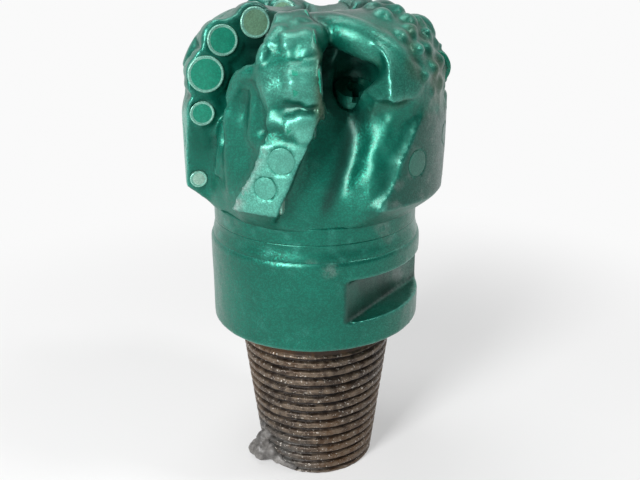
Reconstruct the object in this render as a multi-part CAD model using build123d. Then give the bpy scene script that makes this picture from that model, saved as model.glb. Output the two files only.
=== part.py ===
from build123d import *
import os
from math import asin, atan, ceil, cos, degrees, pi, radians, sin, tan

os.makedirs("parts", exist_ok=True)

# Matrix-body PDC drill bit, in millimetres. Z is the bit's axis. The pin's end face lies on z = 0
# and the crown points up. Azimuths are in degrees from -Y towards +X, the way the bit turns when
# it is seen from the crown's side. A blade leads with its +azimuth wall.

# Tapered pin (2-7/8 regular: five threads per inch, the diameter grows by a quarter of the length)
pin_length = 80.0
pin_base_diameter = 76.2
pin_taper = 0.25
pin_end_chamfer = 1.5
relief_length = 9.5
relief_depth = 1.2
waterway_diameter = 25.4
thread_pitch = 25.4 / 5
thread_depth = 2.6
thread_crest_width = 0.9
thread_root_width = 0.5
thread_overcut = 0.6
thread_front_height = 68.3

# Shank: the cylinder above the shoulder, with two breaker slots for the make-up tool
shank_diameter = 100.0
shank_length = 43.8
shank_bottom_chamfer = 1.8
breaker_height = 19.8
breaker_above_shoulder = 13.7
breaker_flat_distance = 38.0
breaker_azimuth = 56.0

# Neck: the weld that joins the shank to the blank, and the blank's rim above it
neck_diameter = 96.0
weld_width = 7.2
weld_depth = 10.0
weld_root_gap = 1.0
blank_rim_height = 6.0

# Blank: the steel mandrel inside the crown
blank_diameter = 72.0
blank_height = 31.0
blank_rib_depth = 2.0
blank_rib_width = 5.0
blank_rib_count = 2
spigot_diameter = 56.0
spigot_length = 19.0

# Crown envelope: gauge pads, shoulder arc and cone
gauge_diameter = 120.65
crown_chamfer_height = 11.0
gauge_length = 44.0
shoulder_radius = 35.0
cone_angle = 12.0
centre_flat_radius = 4.0
plenum_diameter = 40.0
plenum_height = 12.0

# Blades: the walls wind up the gauge and turn straight at the shoulder
spiral_rate = 0.43
pad_reference = 17.0
lead_spiral_end = 44.0
trail_spiral_end = 34.0
lead_skew = 7.0
trail_skew = 10.0

# Junk slots
slot_foot_inset = 0.3
slot_depth = 30.0
slot_depth_height = 78.0
slot_depth_power = 2.2
slot_floor_width = 9.0
slot_lead_fillet = 3.5
slot_trail_fillet = 7.0
slot_reach = 24.0
slot_level_count = 9

# Cutters and buttons, each brazed into its own pocket
braze_gap = 0.08
cutter_pitch = 19.5
cutter_exposure = 1.2
cutter_standout = 0.8
cutter_back_rake = 7.0
cutter_bevel = 0.5
cutter_length = 12.0
centre_cutter_length = 8.0
gauge_cutter_exposure = -0.9
boss_wall = 2.2
boss_setback = 1.6
boss_length = 6.0
boss_travel_limit = 30.0
updrill_diameter = 8.0
updrill_length = 3.2
updrill_height = 3.8
updrill_inset = 5.2
button_length = 5.0
button_ahead = 10.3

# Jet nozzles: each screws in against a ring seal, and its port opens into a junk slot
nozzle_diameter = 17.4
nozzle_length = 18.0
nozzle_orifice = 8.0
nozzle_inlet = 12.0
nozzle_key_width = 3.0
nozzle_key_depth = 2.5
nozzle_radius = 32.5
nozzle_face_below_nose = 31.5
nozzle_tilt = 20.0
nozzle_turn = 15.0
port_clearance = 0.1
port_reach = 26.0
port_throat = 11.0
seal_section = 2.6

# Heights that follow
shoulder = pin_length
shank_top = shoulder + shank_length
weld_top = shank_top + weld_width
weld_middle = shank_top + weld_width / 2
crown_base = weld_top + blank_rim_height
gauge_bottom = crown_base + crown_chamfer_height
gauge_top = gauge_bottom + gauge_length
nose_top = gauge_top + shoulder_radius
blank_top = crown_base + blank_height
spigot_top = weld_middle + spigot_length
gauge_radius = gauge_diameter / 2
nose_radius = gauge_radius - shoulder_radius
shoulder_arc_length = shoulder_radius * pi / 2


class Blade:
    """One blade: its wall azimuths at the pads' reference height, its cutters and its buttons.

    A button is (height above the pad's lower end, degrees ahead of the trailing wall, diameter).
    """

    def __init__(self, name, lead, width, first_cutter, diameters, buttons, crown_trail=None, ramp=8.0,
                 port_shift=None, bosses=True, lead_spiral=None, lead_lean=None):
        self.name = name
        self.lead = lead
        self.trail = lead - width
        self.first_cutter = first_cutter
        self.diameters = diameters
        self.buttons = buttons
        wound = spiral_rate * (trail_spiral_end - pad_reference)
        self.crown_trail = self.trail + wound if crown_trail is None else crown_trail
        self.ramp = ramp
        self.port_shift = port_shift
        self.bosses = bosses
        self.lead_spiral = spiral_rate if lead_spiral is None else lead_spiral
        self.lead_lean = lead_skew if lead_lean is None else lead_lean


pad_buttons = [(24.0, button_ahead, 12.0), (12.0, button_ahead, 10.5)]
wide_pad_buttons = [(17.8, button_ahead, 12.0), (24.5, button_ahead + 27.7, 10.5)]
blades = [
    Blade("blade_a", -70, 23, 4.7, [13.44, 13.44, 15.88, 11.0], pad_buttons, lead_spiral=0.27, lead_lean=-4),
    Blade("blade_b", -8, 20, 3.0, [13.44, 13.44, 15.88, 11.0], pad_buttons, bosses=False),
    Blade("blade_c", 80, 44, -14.5, [11.0, 13.44, 13.44, 15.88, 11.0], wide_pad_buttons, crown_trail=31,
          ramp=40, port_shift=1.5),
    Blade("blade_d", 149, 22, 1.5, [13.44, 13.44, 15.88, 11.0], pad_buttons),
    Blade("blade_e", 221, 22, -5.0, [13.44, 13.44, 15.88, 11.0], pad_buttons),
]


def direction(azimuth):
    """The level unit vector at an azimuth."""
    return Vector(sin(radians(azimuth)), -cos(radians(azimuth)), 0)


def turned(profile):
    """The solid of revolution of a closed profile drawn in X and Z."""
    return revolve(make_face(profile), Axis.Z)


def disc(radius, low, high):
    """A plain cylinder about the axis, between two heights."""
    return Pos(0, 0, (low + high) / 2) * Cylinder(radius, high - low)


def rod(start, axis, radius, length):
    """A cylinder from a point along an axis."""
    return Plane(origin=start, z_dir=axis) * Pos(0, 0, length / 2) * Cylinder(radius, length)


def lead_azimuth(blade, height):
    """Where a blade's leading wall meets the gauge circle, at a height in the frame."""
    above = min(height - gauge_bottom, lead_spiral_end)
    return blade.lead + blade.lead_spiral * (above - pad_reference)


def crown_share(height):
    """0 on the gauge pads and 1 on the crown's face, for the trailing walls."""
    above = height - gauge_bottom - trail_spiral_end / 2
    return min(max(above / (trail_spiral_end / 2), 0.0), 1.0)


def trail_azimuth(blade, height):
    """Where a blade's trailing wall meets the gauge circle, at a height in the frame."""
    on_pad = blade.trail + spiral_rate * (min(height - gauge_bottom, trail_spiral_end) - pad_reference)
    share = crown_share(height)
    return on_pad * (1 - share) + blade.crown_trail * share


def slot_floor_distance(height):
    """How far the junk slots' floors lie from the axis."""
    rise = max(height - crown_base, 0.0) / slot_depth_height
    return neck_diameter / 2 - slot_foot_inset - slot_depth * rise ** slot_depth_power


def slot_section(blade, follower, height):
    """A junk slot's outline at one height, from a blade's leading wall to its follower's trailing wall."""
    lead = lead_azimuth(blade, height)
    trail = trail_azimuth(follower, height)
    share = crown_share(height)
    trail_lean = follower.ramp * (1 - share) + trail_skew * share
    lead_point = direction(lead) * gauge_radius
    trail_point = direction(trail) * gauge_radius
    lead_way = direction(lead + blade.lead_lean)
    trail_way = direction(trail + trail_lean)
    middle = direction((lead + trail) / 2)
    across = direction((lead + trail) / 2 + 90)

    def foot(point, way, distance):
        return point + way * ((distance - point.dot(middle)) / way.dot(middle))

    def floor_width(distance):
        return (foot(trail_point, trail_way, distance) - foot(lead_point, lead_way, distance)).dot(across)

    # The walls close in towards the axis, so the floor stops where it is still wide enough.
    near, far = 10.0, 50.0
    growth = (floor_width(far) - floor_width(near)) / (far - near)
    narrowest = near + (slot_floor_width - floor_width(near)) / growth
    distance = max(slot_floor_distance(height), narrowest)
    lift = Vector(0, 0, height)
    corners = [
        lead_point + lead_way * slot_reach + lift,
        foot(lead_point, lead_way, distance) + lift,
        foot(trail_point, trail_way, distance) + lift,
        trail_point + trail_way * slot_reach + lift,
    ]
    channel = FilletPolyline(*corners, radius=[slot_lead_fillet, slot_trail_fillet])
    return make_face([channel, Line(corners[-1], corners[0])])


def junk_slot(blade, follower):
    """The solid cut away between two blades."""
    low = crown_base - crown_chamfer_height / 2
    high = nose_top + crown_chamfer_height
    step = (high - low) / (slot_level_count - 1)
    levels = [low + step * count for count in range(slot_level_count)]
    return loft([slot_section(blade, follower, level) for level in levels])


def crown_envelope():
    """The crown before its slots are cut: neck, chamfer, gauge, shoulder arc and cone."""
    arc_middle = (nose_radius + shoulder_radius * sin(radians(45)), 0,
                  gauge_top + shoulder_radius * cos(radians(45)))
    centre_top = nose_top - (nose_radius - centre_flat_radius) * tan(radians(cone_angle))
    outline = [
        Polyline((0, 0, crown_base), (neck_diameter / 2, 0, crown_base), (gauge_radius, 0, gauge_bottom),
                 (gauge_radius, 0, gauge_top)),
        ThreePointArc((gauge_radius, 0, gauge_top), arc_middle, (nose_radius, 0, nose_top)),
        Polyline((nose_radius, 0, nose_top), (centre_flat_radius, 0, centre_top), (0, 0, centre_top),
                 (0, 0, crown_base)),
    ]
    return turned(outline)


def profile_at(travel):
    """Radius, height and normal angle on the cutting profile, at a travel outward from the nose."""
    if travel < 0:
        slope = radians(cone_angle)
        return nose_radius + travel * cos(slope), nose_top + travel * sin(slope), -cone_angle
    if travel < shoulder_arc_length:
        angle = travel / shoulder_radius
        return (nose_radius + shoulder_radius * sin(angle), gauge_top + shoulder_radius * cos(angle),
                degrees(angle))
    return gauge_radius, gauge_top - (travel - shoulder_arc_length), 90.0


def cutter_seat(blade, travel, radius, exposure):
    """A cutter's face centre and its axis, which points out of the blade's leading wall."""
    edge_radius, edge_height, slope = profile_at(travel)
    inset = radius - exposure
    centre_radius = edge_radius - inset * sin(radians(slope))
    height = edge_height - inset * cos(radians(slope))
    wall = lead_azimuth(blade, height) + blade.lead_lean
    azimuth = wall - degrees(asin(gauge_radius * sin(radians(blade.lead_lean)) / centre_radius))
    outward = direction(wall) * sin(radians(slope)) + Vector(0, 0, cos(radians(slope)))
    rake = radians(cutter_back_rake)
    axis = direction(wall + 90) * cos(rake) + outward * sin(rake)
    face = direction(azimuth) * centre_radius + Vector(0, 0, height) + axis * cutter_standout
    return face, axis


class Cutter:
    """A brazed cutter: its solid, its pocket and, on the crown's face, the boss behind it."""

    def __init__(self, name, face, axis, diameter, length, has_boss):
        radius = diameter / 2
        self.name = name
        back = face - axis * length
        body = rod(back, axis, radius, length)
        self.solid = chamfer(body.edges().group_by(Axis(back, axis))[-1], cutter_bevel)
        self.pocket = rod(back, axis, radius + braze_gap, length + boss_setback)
        self.boss = None
        if has_boss:
            boss_radius = radius + boss_wall
            end = face - axis * (boss_setback + boss_length)
            self.boss = rod(end, axis, boss_radius, boss_length) + Pos(*end) * Sphere(boss_radius)


def blade_cutters(blade):
    """The cutters along one blade, and the small one at its pad's lower end."""
    cutters = []
    for count, diameter in enumerate(blade.diameters):
        travel = blade.first_cutter + cutter_pitch * count
        on_gauge = travel > shoulder_arc_length
        exposure = gauge_cutter_exposure if on_gauge else cutter_exposure
        face, axis = cutter_seat(blade, travel, diameter / 2, exposure)
        length = centre_cutter_length if travel < 0 else cutter_length
        name = f"{blade.name}_cutter_{count + 1}"
        has_boss = blade.bosses and 0 <= travel < boss_travel_limit
        cutters.append(Cutter(name, face, axis, diameter, length, has_boss))
    height = gauge_bottom + updrill_height
    wall = lead_azimuth(blade, height) + blade.lead_lean
    axis = direction(wall + 90)
    reach = gauge_radius - updrill_inset
    azimuth = wall - degrees(asin(gauge_radius * sin(radians(blade.lead_lean)) / reach))
    face = direction(azimuth) * reach + Vector(0, 0, height) + axis * cutter_standout
    cutters.append(Cutter(f"{blade.name}_updrill_cutter", face, axis, updrill_diameter, updrill_length, False))
    return cutters


def gauge_button(blade, count, spec):
    """A button let into a gauge pad, cut flush with the gauge circle, and its pocket."""
    above, ahead, diameter = spec
    height = gauge_bottom + above
    azimuth = trail_azimuth(blade, height) + ahead
    inner = direction(azimuth) * (gauge_radius - button_length) + Vector(0, 0, height)
    body = rod(inner, direction(azimuth), diameter / 2, button_length + 2)
    flush = body & disc(gauge_radius, height - diameter, height + diameter)
    pocket = rod(inner, direction(azimuth), diameter / 2 + braze_gap, button_length + 2)
    return f"{blade.name}_gauge_button_{count + 1}", flush, pocket


class Nozzle:
    """A jet nozzle with its seal and the port that it screws into."""

    def __init__(self, count, blade, follower):
        height = nose_top - nozzle_face_below_nose
        lead = lead_azimuth(blade, height)
        trail = trail_azimuth(follower, height)
        azimuth = (lead + trail) / 2
        if follower.port_shift is not None:
            azimuth = trail + follower.port_shift
        tilt = radians(nozzle_tilt)
        axis = direction(azimuth - nozzle_turn) * sin(tilt) + Vector(0, 0, cos(tilt))
        face = direction(azimuth) * nozzle_radius + Vector(0, 0, height)
        seat = face - axis * nozzle_length
        radius = nozzle_diameter / 2
        self.name = f"nozzle_{count}"
        self.seal_name = f"nozzle_o_ring_{count}"

        body = rod(seat, axis, radius, nozzle_length)
        body -= rod(seat, axis, nozzle_orifice / 2, nozzle_length)
        inlet_plane = Plane(origin=seat, z_dir=axis)
        funnel_length = nozzle_inlet - nozzle_orifice
        body -= inlet_plane * Pos(0, 0, funnel_length / 2) * Cone(
            nozzle_inlet / 2, nozzle_orifice / 2, funnel_length)
        key = Box(nozzle_diameter, nozzle_key_width, nozzle_key_depth)
        body -= inlet_plane * Pos(0, 0, nozzle_length - nozzle_key_depth / 2) * key
        seal_radius = radius - seal_section / 2
        groove = Cylinder(radius, seal_section) - Cylinder(radius - seal_section, seal_section)
        body -= inlet_plane * Pos(0, 0, seal_section * 1.5) * groove
        self.solid = body
        self.seal = inlet_plane * Pos(0, 0, seal_section * 1.5) * Torus(seal_radius, seal_section / 2)

        plenum_end = Vector(0, 0, blank_top)
        self.port = rod(seat, axis, radius + port_clearance, nozzle_length + port_reach)
        self.port += rod(plenum_end, seat - plenum_end, port_throat / 2, (seat - plenum_end).length)


def pairs():
    """Each blade with the next one ahead of it, a full turn on where the count wraps."""
    for count, blade in enumerate(blades):
        if count + 1 < len(blades):
            yield blade, blades[count + 1]
        else:
            first = blades[0]
            ahead = Blade(first.name, first.lead + 360, first.lead - first.trail, first.first_cutter,
                          first.diameters, first.buttons)
            yield blade, ahead


def blank_outline():
    """The blank's outer shape, with its rim at the neck and its holding ribs."""
    radius = blank_diameter / 2
    body = disc(radius, crown_base, blank_top)
    pitch = blank_height / (blank_rib_count + 1)
    for count in range(blank_rib_count):
        middle = crown_base + pitch * (count + 1)
        body += disc(radius + blank_rib_depth, middle - blank_rib_width / 2, middle + blank_rib_width / 2)
    return body


def make_blank():
    """The steel mandrel: rim, ribbed skirt, socket for the shank's spigot and the plenum's lower half."""
    neck_radius = neck_diameter / 2
    root_radius = neck_radius - weld_depth
    root_bottom = weld_middle + weld_root_gap / 2
    rim = turned([Polyline((0, 0, root_bottom), (root_radius, 0, root_bottom), (neck_radius, 0, weld_top),
                           (neck_radius, 0, crown_base), (0, 0, crown_base), (0, 0, root_bottom))])
    body = rim + blank_outline()
    body -= disc(spigot_diameter / 2, shank_top, spigot_top)
    body -= disc(plenum_diameter / 2, spigot_top, blank_top)
    return body


def make_weld():
    """The weld bead: a ring of V section between the shank and the blank, turned flush."""
    neck_radius = neck_diameter / 2
    root_radius = neck_radius - weld_depth
    low = weld_middle - weld_root_gap / 2
    high = weld_middle + weld_root_gap / 2
    return turned([Polyline((root_radius, 0, low), (neck_radius, 0, shank_top), (neck_radius, 0, weld_top),
                            (root_radius, 0, high), (root_radius, 0, low))])


def thread_groove():
    """The thread's V groove, swept up the pin along its tapered helix and out into the relief."""
    turns_below = ceil(thread_front_height / thread_pitch)
    low = thread_front_height - thread_pitch * (turns_below + 0.75)
    high = shoulder - relief_length - thread_root_width
    low_radius = pin_base_diameter / 2 - (shoulder - low) * pin_taper / 2
    helix = Helix(pitch=thread_pitch, height=high - low, radius=low_radius, center=(0, 0, low),
                  cone_angle=degrees(atan(pin_taper / 2)))
    start = helix @ 0
    half_root = thread_root_width / 2
    half_top = (thread_pitch - thread_crest_width) / 2
    half_over = half_top + (half_top - half_root) * thread_overcut / thread_depth
    section = Plane(origin=start, x_dir=(start.X, start.Y, 0), z_dir=helix % 0) * make_face(Polyline(
        (thread_overcut, -half_over), (thread_overcut, half_over), (-thread_depth, half_root),
        (-thread_depth, -half_root), (thread_overcut, -half_over)))
    return sweep(section, path=helix, is_frenet=True)


def make_shank():
    """The upper section: tapered threaded pin, shoulder, body with breaker slots, weld prep and spigot."""
    body_radius = shank_diameter / 2
    neck_radius = neck_diameter / 2
    root_radius = neck_radius - weld_depth
    edge = body_radius - neck_radius
    base_radius = pin_base_diameter / 2
    end_radius = base_radius - pin_length * pin_taper / 2
    relief_radius = base_radius - relief_depth
    relief_foot = shoulder - relief_length
    thread_top_radius = base_radius - relief_length * pin_taper / 2
    root = weld_middle - weld_root_gap / 2
    body = turned([Polyline(
        (0, 0, 0),
        (end_radius - pin_end_chamfer, 0, 0),
        (end_radius, 0, pin_end_chamfer),
        (thread_top_radius, 0, relief_foot),
        (relief_radius, 0, relief_foot + relief_depth),
        (relief_radius, 0, shoulder),
        (body_radius - shank_bottom_chamfer, 0, shoulder),
        (body_radius, 0, shoulder + shank_bottom_chamfer),
        (body_radius, 0, shank_top - edge),
        (neck_radius, 0, shank_top),
        (root_radius, 0, root),
        (spigot_diameter / 2, 0, root),
        (spigot_diameter / 2, 0, spigot_top),
        (0, 0, spigot_top),
        (0, 0, 0),
    )])
    body -= disc(waterway_diameter / 2, 0, spigot_top)
    breaker_depth = body_radius - breaker_flat_distance
    block = Box(shank_diameter, breaker_depth * 2, breaker_height)
    middle = shoulder + breaker_above_shoulder + breaker_height / 2
    for azimuth in (breaker_azimuth, breaker_azimuth + 180):
        body -= Rot(0, 0, azimuth) * Pos(0, -body_radius, middle) * block
    return body - thread_groove()


def make_crown(cutters, buttons, nozzles):
    """The matrix crown: the envelope less its junk slots, with bosses, pockets, ports and plenum."""
    body = crown_envelope()
    for blade, follower in pairs():
        body -= junk_slot(blade, follower)
    for cutter in cutters:
        if cutter.boss is not None:
            body += cutter.boss
    for cutter in cutters:
        body -= cutter.pocket
    for _, _, pocket in buttons:
        body -= pocket
    body -= blank_outline()
    body -= disc(plenum_diameter / 2, blank_top, blank_top + plenum_height)
    for nozzle in nozzles:
        body -= nozzle.port
    return body


cutters = [cutter for blade in blades for cutter in blade_cutters(blade)]
buttons = [gauge_button(blade, count, spec) for blade in blades for count, spec in enumerate(blade.buttons)]
nozzles = [Nozzle(count + 1, *pair) for count, pair in enumerate(pairs())]

pieces = {
    "shank": make_shank(),
    "weld_ring": make_weld(),
    "blank": make_blank(),
    "crown": make_crown(cutters, buttons, nozzles),
}
for cutter in cutters:
    pieces[cutter.name] = cutter.solid
for name, solid, _ in buttons:
    pieces[name] = solid
for nozzle in nozzles:
    pieces[nozzle.name] = nozzle.solid
    pieces[nozzle.seal_name] = nozzle.seal

for name, piece in pieces.items():
    export_step(piece, f"parts/{name}.step")
print(len(pieces), "pieces")
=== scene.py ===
import math
import bpy
import numpy as np
from mathutils import Euler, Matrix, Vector


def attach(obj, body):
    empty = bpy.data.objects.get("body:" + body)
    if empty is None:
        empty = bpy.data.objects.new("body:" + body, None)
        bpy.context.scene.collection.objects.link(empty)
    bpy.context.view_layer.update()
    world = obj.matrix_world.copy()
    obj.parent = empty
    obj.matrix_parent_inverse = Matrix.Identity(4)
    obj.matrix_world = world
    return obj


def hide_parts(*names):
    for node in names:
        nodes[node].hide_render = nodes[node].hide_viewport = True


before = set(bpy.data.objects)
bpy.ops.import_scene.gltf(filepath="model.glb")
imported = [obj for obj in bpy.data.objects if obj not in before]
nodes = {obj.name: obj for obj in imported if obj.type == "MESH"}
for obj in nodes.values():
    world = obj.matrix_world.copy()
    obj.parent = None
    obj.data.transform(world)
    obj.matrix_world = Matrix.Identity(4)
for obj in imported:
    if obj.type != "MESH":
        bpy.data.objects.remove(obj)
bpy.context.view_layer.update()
scene = bpy.context.scene

# Lengths are in mm, heights above the shank's shoulder, and azimuths in degrees from the front to the right.
MM = 0.001
SHOULDER = 80.0                  # the shoulder's height above the pin's end
PIN_RADIUS = 38.1                # the pin at its base
PIN_TAPER = 8.0                  # height over which the pin's radius grows by 1
PITCH = 5.08                     # the pin's thread, five turns to the inch
RELIEF_RADIUS = 36.9             # the plain groove between thread and shoulder
RELIEF_FOOT = -9.0
BORE = 12.7
SHANK_RADIUS = 50.0
SHANK_TOP = 43.8
FLAT = 38.0                      # a breaker slot's floor, from the axis
FLAT_TURNS = (56, 236)           # the azimuths that the breaker slots face
FLAT_FOOT = 13.7
FLAT_HALF = 9.9                  # half of a breaker slot's height
NECK = 48.0
WELD_SPAN = (42.2, 51.0)
NECK_SPAN = (51.0, 58.5)
GAUGE = 60.325                   # radius of the gauge circle
GAUGE_TOP = 112.0                # where the pads end and the crown's shoulder begins
SHOULDER_ARC = 35.0              # radius of the shoulder's profile
SHOULDER_TRAVEL = 55             # length of that profile, from the nose to the gauge
NOSE_RADIUS = 25.3               # the nose's distance from the axis
CONE = math.radians(12)          # the fall of the face inside the nose
SPIRAL = 0.43                    # the blades' turn, degrees for each mm of height
NOZZLE_TILT = math.radians(20.0)
NOZZLE_TURN = 15.0
NOZZLE_HALF = 9.0                # half of a nozzle's length
BLADE_B = -9.5                   # azimuth of the middle of blade B's outer face
CROWN_VOXEL = 1.0
TOOL_VOXEL = 0.8
SHANK_VOXEL = 0.9
GREASE_VOXEL = 0.6
CROWN_TRIANGLES = 192000
WORLD_LIGHT = 0.12               # what the white surroundings give as light
PAPER = (0.955, 0.955, 0.955, 1)


# ---------------------------------------------------------------- small tools
def direction(azimuth):
    a = math.radians(azimuth)
    return np.array([math.sin(a), -math.cos(a), 0.0])


def at(azimuth, radius, height):
    return direction(azimuth) * radius + np.array([0, 0, SHOULDER + height])


def unit(v):
    return v / np.linalg.norm(v)


def hashed(i, j, k, seed):
    """A number from 0 to 1 that depends only on the cell and the seed."""
    h = (i * 374761393 + j * 668265263 + k * 974634777 + seed * 1274126177) & 0xFFFFFFFF
    h = ((h ^ (h >> 13)) * 1274126177) & 0xFFFFFFFF
    h = ((h ^ (h >> 15)) * 668265263) & 0xFFFFFFFF
    return ((h ^ (h >> 16)) & 0xFFFF) / 65535.0


def lumps(points, size, seed, stretch=(1, 1, 1)):
    """Smooth noise from -1 to 1 whose lumps are about this size, on a turned grid unless they are stretched."""
    if stretch == (1, 1, 1):
        points = points @ np.array([[0.36, 0.48, -0.8], [-0.8, 0.6, 0.0], [0.48, 0.64, 0.6]]).T
    p = points / (size * np.array(stretch)) + seed * 17.3
    cell = np.floor(p).astype(np.int64)
    f = p - cell
    f = f * f * f * (f * (f * 6 - 15) + 10)
    total = np.zeros(len(points))
    for dx in (0, 1):
        wx = f[:, 0] if dx else 1 - f[:, 0]
        for dy in (0, 1):
            wy = f[:, 1] if dy else 1 - f[:, 1]
            for dz in (0, 1):
                wz = f[:, 2] if dz else 1 - f[:, 2]
                total += wx * wy * wz * hashed(cell[:, 0] + dx, cell[:, 1] + dy, cell[:, 2] + dz, seed)
    return total * 2 - 1


def ramp(x, low, high):
    """0 up to the low value, 1 from the high one, and a smooth rise between."""
    t = np.clip((x - low) / (high - low), 0, 1)
    return t * t * (3 - 2 * t)


def bell(x, middle, width, power=2):
    return np.exp(-((x - middle) / width) ** power)


def around(co):
    """Radius, height above the shoulder and azimuth of each point."""
    return np.hypot(co[:, 0], co[:, 1]), co[:, 2] - SHOULDER, np.degrees(np.arctan2(co[:, 0], -co[:, 1]))


def from_axis(co, start, axis):
    """Each point's distance along an axis from its start, and out from the axis."""
    rel = co - start
    along = rel @ axis
    return along, np.linalg.norm(rel - np.outer(along, axis), axis=1)


def outward(turn):
    """Unit vectors away from the bit's axis at each turn, in radians."""
    return np.stack([np.sin(turn), -np.cos(turn), np.zeros(len(turn))], 1)


def mesh_from(name, verts, faces):
    mesh = bpy.data.meshes.new(name)
    mesh.from_pydata([tuple(v) for v in np.asarray(verts) * MM], [], [tuple(f) for f in faces])
    mesh.validate()
    return mesh


def add(name, mesh, smooth=True):
    obj = bpy.data.objects.new(name, mesh)
    scene.collection.objects.link(obj)
    if smooth:
        mesh.shade_smooth()
    return obj


def read(items, key, width, kind=np.float32):
    """One vector for each vertex or edge."""
    values = np.empty(len(items) * width, kind)
    items.foreach_get(key, values)
    return values.reshape(-1, width)


def coords(mesh):
    return read(mesh.vertices, "co", 3).astype(float) / MM


def set_coords(mesh, co):
    mesh.vertices.foreach_set("co", (co * MM).astype(np.float32).ravel())
    mesh.update()


def edge_array(mesh):
    return read(mesh.edges, "vertices", 2, np.int32)


def normals(mesh):
    return read(mesh.vertex_normals, "vector", 3).astype(float)


def neighbour_sum(values, edges):
    a, b = edges[:, 0], edges[:, 1]
    return np.bincount(a, values[b], len(values)) + np.bincount(b, values[a], len(values))


def neighbour_count(edges, size):
    return np.maximum(np.bincount(edges[:, 0], minlength=size) + np.bincount(edges[:, 1], minlength=size), 1)


def relax(co, edges, weight, rounds):
    """Laplacian smoothing, held back where the weight is low."""
    count = neighbour_count(edges, len(co))
    step = (weight * 0.5)[:, None]
    for _ in range(rounds):
        total = np.stack([neighbour_sum(co[:, axis], edges) for axis in range(3)], 1)
        co = co + (total / count[:, None] - co) * step
    return co


def spread(values, edges, rounds):
    """Values shared out between neighbours."""
    count = neighbour_count(edges, len(values))
    for _ in range(rounds):
        values = 0.5 * values + 0.5 * neighbour_sum(values, edges) / count
    return values


def attribute(mesh, name, values):
    """Stores a value at each vertex for a material to read."""
    layer = mesh.attributes.new(name, "FLOAT", "POINT")
    layer.data.foreach_set("value", np.asarray(values, np.float32))


def coated(mesh, *mats):
    mesh.materials.clear()
    for mat in mats:
        mesh.materials.append(mat)


def applied(obj):
    """The object's mesh with its modifiers worked in."""
    depsgraph = bpy.context.evaluated_depsgraph_get()
    mesh = bpy.data.meshes.new_from_object(obj.evaluated_get(depsgraph))
    obj.modifiers.clear()
    obj.data = mesh
    return mesh


def voxelled(obj, size):
    """The object's parts melted into one skin of even faces."""
    mod = obj.modifiers.new("voxels", "REMESH")
    mod.mode = "VOXEL"
    mod.voxel_size = size * MM
    mod.use_smooth_shade = True
    return applied(obj)


def thinned(obj, triangles):
    count = sum(len(p.vertices) - 2 for p in obj.data.polygons)
    if count > triangles:
        mod = obj.modifiers.new("thin", "DECIMATE")
        mod.ratio = triangles / count
        applied(obj)
    return obj.data


def cut(obj, tool, solver):
    """The object less the tool, which is then removed."""
    mod = obj.modifiers.new("cut", "BOOLEAN")
    mod.operation = "DIFFERENCE"
    mod.object = tool
    mod.solver = solver
    applied(obj)
    bpy.data.objects.remove(tool)


def closed_ball(centre, radii, rings=10, segments=16):
    """A closed ellipsoid as plain arrays."""
    verts = [(0, 0, 1.0)]
    for i in range(1, rings):
        a = math.pi * i / rings
        for j in range(segments):
            b = 2 * math.pi * j / segments
            verts.append((math.sin(a) * math.cos(b), math.sin(a) * math.sin(b), math.cos(a)))
    verts.append((0, 0, -1.0))
    verts = np.array(verts) * np.array(radii) + centre
    faces = []
    for j in range(segments):
        k = (j + 1) % segments
        faces.append((0, 1 + j, 1 + k))
        for i in range(rings - 2):
            p, q = 1 + i * segments, 1 + (i + 1) * segments
            faces.append((p + j, q + j, q + k, p + k))
        last = 1 + (rings - 2) * segments
        faces.append((last + j, len(verts) - 1, last + k))
    return verts, faces


def ball(centre, radius):
    return closed_ball(centre, (radius, radius, radius))


def chain(points, radii, step=2.0):
    """Balls strung closely along a smooth curve through the points."""
    points = np.array(points, float)
    balls = []
    for k in range(len(points) - 1):
        p0 = points[max(k - 1, 0)]
        p1, p2 = points[k], points[k + 1]
        p3 = points[min(k + 2, len(points) - 1)]
        count = max(2, int(np.linalg.norm(p2 - p1) / step))
        for i in range(count):
            t = i / count
            q = 0.5 * ((2 * p1) + (p2 - p0) * t + (2 * p0 - 5 * p1 + 4 * p2 - p3) * t ** 2
                       + (3 * p1 - p0 - 3 * p2 + p3) * t ** 3)
            balls.append((q, radii[k] * (1 - t) + radii[k + 1] * t))
    balls.append((points[-1], radii[-1]))
    return [ball(q, r) for q, r in balls]


def merged(parts):
    """Several pairs of vertices and faces as one."""
    verts, faces, offset = [], [], 0
    for v, f in parts:
        verts.append(v)
        faces.extend(tuple(i + offset for i in face) for face in f)
        offset += len(v)
    return np.concatenate(verts), faces


def tube_faces(rows, segments, looped=False):
    """Quads between each ring of vertices and the next, and from the last to the first if looped."""
    faces = []
    for i in range(rows if looped else rows - 1):
        p, q = i * segments, (i + 1) % rows * segments
        for j in range(segments):
            k = (j + 1) % segments
            faces.append((p + j, p + k, q + k, q + j))
    return faces


def lathe(profile, segments, start, axis, looped=False):
    """A turned form: (along, radius) pairs about an axis, with discs at its ends unless looped."""
    axis = unit(np.array(axis, float))
    side = unit(np.cross(axis, [0.0, 0.0, 1.0] if abs(axis[2]) < 0.9 else [1.0, 0.0, 0.0]))
    other = np.cross(axis, side)
    angles = np.arange(segments) * 2 * math.pi / segments
    ring = np.outer(np.cos(angles), side) + np.outer(np.sin(angles), other)
    verts = np.concatenate([start + axis * along + ring * radius for along, radius in profile])
    faces = tube_faces(len(profile), segments, looped)
    if not looped:
        last = (len(profile) - 1) * segments
        faces.append(tuple(range(segments - 1, -1, -1)))
        faces.append(tuple(last + j for j in range(segments)))
    return verts, faces


def mesh_parts(obj):
    return coords(obj.data), [tuple(p.vertices) for p in obj.data.polygons]


def middle_of(co):
    return (co.min(0) + co.max(0)) / 2


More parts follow.
